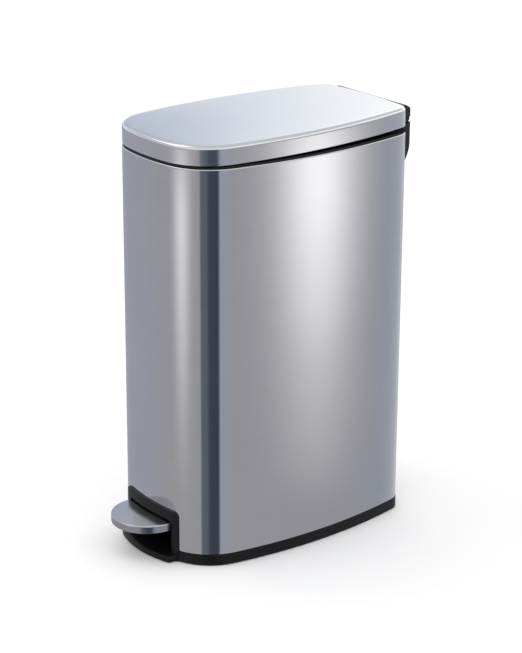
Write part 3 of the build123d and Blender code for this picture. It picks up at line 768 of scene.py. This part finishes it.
# soft cards that only mirrored rays see: a hump of light across, with its own rise from bottom to top
cards = {
    "frontCard": {"heading": -5, "from": (0.09, -0.15), "away": 1.5, "width": 2.4, "peak": 0.54,
                  "spread": 0.20, "low": -0.62, "high": 0.30,
                  "rise": [(0, 0), (0.14, 0.06), (0.39, 0.36), (0.57, 0.62), (0.80, 0.86), (0.90, 0.60),
                           (0.96, 0.15), (1, 0)]},
    "sideCard": {"heading": 130.5, "from": (0.127, 0.03), "away": 1.5, "width": 1.6, "peak": 0.84,
                 "spread": 0.225, "low": -0.62, "high": 0.30,
                 "rise": [(0, 0), (0.14, 0.15), (0.39, 0.37), (0.57, 0.66), (0.8, 0.96), (1, 1)]},
}


def makeCard(name, card):
    heading = math.radians(card["heading"])
    way = Vector((math.sin(heading), -math.cos(heading), 0))
    across = Vector((way.y, -way.x, 0))
    middle = Vector((card["from"][0], card["from"][1] + bodyY, 0)) + way * card["away"]
    bm = bmesh.new()
    grid = bm.loops.layers.uv.new("UVMap")
    columns, rows = 12, 8
    corners = []
    for j in range(rows + 1):
        z = card["low"] + (card["high"] - card["low"]) * j / rows
        spots = [across * card["width"] * (i / columns - 0.5) for i in range(columns + 1)]
        corners.append([bm.verts.new(middle + spot + Vector((0, 0, z))) for spot in spots])
    for j in range(rows):
        for i in range(columns):
            cell = ((i, j), (i + 1, j), (i + 1, j + 1), (i, j + 1))
            face = bm.faces.new([corners[v][u] for u, v in cell])
            for loop, (u, v) in zip(face.loops, cell):
                loop[grid].uv = (u / columns, v / rows)
    obj = place(name, bm)
    material = bpy.data.materials.new(name)
    material.use_nodes = True
    tree = material.node_tree
    tree.nodes.clear()
    links = tree.links
    coords = addNode(tree, "ShaderNodeTexCoord")
    split = addNode(tree, "ShaderNodeSeparateXYZ")
    links.new(coords.outputs["UV"], split.inputs[0])
    offset = mathNode(tree, "DIVIDE", mathNode(tree, "SUBTRACT", split.outputs["X"], 0.5), card["spread"])
    squared = mathNode(tree, "MULTIPLY", offset, offset)
    hump = mathNode(tree, "EXPONENT", mathNode(tree, "MULTIPLY", squared, -1.0))
    rise = addNode(tree, "ShaderNodeValToRGB")
    stops = rise.color_ramp.elements
    while len(stops) < len(card["rise"]):
        stops.new(0.5)
    for stop, (where, value) in zip(stops, card["rise"]):
        stop.position = where
        stop.color = (value, value, value, 1)
    links.new(split.outputs["Y"], rise.inputs["Fac"])
    level = mathNode(tree, "MULTIPLY", mathNode(tree, "MULTIPLY", hump, rise.outputs["Color"]), card["peak"])
    glow = addNode(tree, "ShaderNodeEmission")
    glow.inputs["Color"].default_value = (1.0, 0.99, 0.97, 1)
    links.new(level, glow.inputs["Strength"])
    clear = addNode(tree, "ShaderNodeBsdfTransparent")
    add = addNode(tree, "ShaderNodeAddShader")
    links.new(glow.outputs[0], add.inputs[0])
    links.new(clear.outputs[0], add.inputs[1])
    out = addNode(tree, "ShaderNodeOutputMaterial")
    links.new(add.outputs[0], out.inputs["Surface"])
    obj.data.materials.append(material)
    obj.visible_camera = False
    obj.visible_diffuse = False
    obj.visible_shadow = False


makeFloor()
makeWorld()
for cardName, card in cards.items():
    makeCard(cardName, card)

keyLight = {"name": "keyLight", "energy": 6.0, "size": 1.6, "at": (-0.9, -1.2, 2.2), "to": (0, 0, 0.3)}


def makeKey():
    light = bpy.data.lights.new(keyLight["name"], "AREA")
    light.energy = keyLight["energy"]
    light.size = keyLight["size"]
    obj = bpy.data.objects.new(keyLight["name"], light)
    obj.location = keyLight["at"]
    way = Vector(keyLight["to"]) - Vector(keyLight["at"])
    obj.rotation_euler = way.to_track_quat("-Z", "Y").to_euler()
    bpy.context.scene.collection.objects.link(obj)


makeKey()

view = {
    "azimuth": 53.84,
    "elevation": 19.93,
    "away": 3.1726,
    "aim": (0, 0, 0.2686),
    "roll": -0.28,
    "lens": 115.73,
    "shift": (0.0007, 0.0396),
}


def makeCamera():
    azimuth, elevation, roll = (math.radians(view[k]) for k in ("azimuth", "elevation", "roll"))
    back = Vector((math.sin(azimuth) * math.cos(elevation), -math.cos(azimuth) * math.cos(elevation),
                   math.sin(elevation)))
    right = Vector((math.cos(azimuth), math.sin(azimuth), 0))
    up = back.cross(right)
    turnedRight = right * math.cos(roll) - up * math.sin(roll)
    turnedUp = right * math.sin(roll) + up * math.cos(roll)
    data = bpy.data.cameras.new("viewCamera")
    data.lens = view["lens"]
    data.shift_x, data.shift_y = view["shift"]
    data.clip_end = 30
    obj = bpy.data.objects.new("viewCamera", data)
    bpy.context.scene.collection.objects.link(obj)
    at = Vector(view["aim"]) + Vector((0, bodyY, 0)) + back * view["away"]
    turn = Matrix((turnedRight, turnedUp, back)).transposed()
    obj.matrix_world = Matrix.Translation(at) @ turn.to_4x4()
    bpy.context.scene.camera = obj


makeCamera()
bpy.context.scene.view_settings.view_transform = "Standard"
print("studio made")
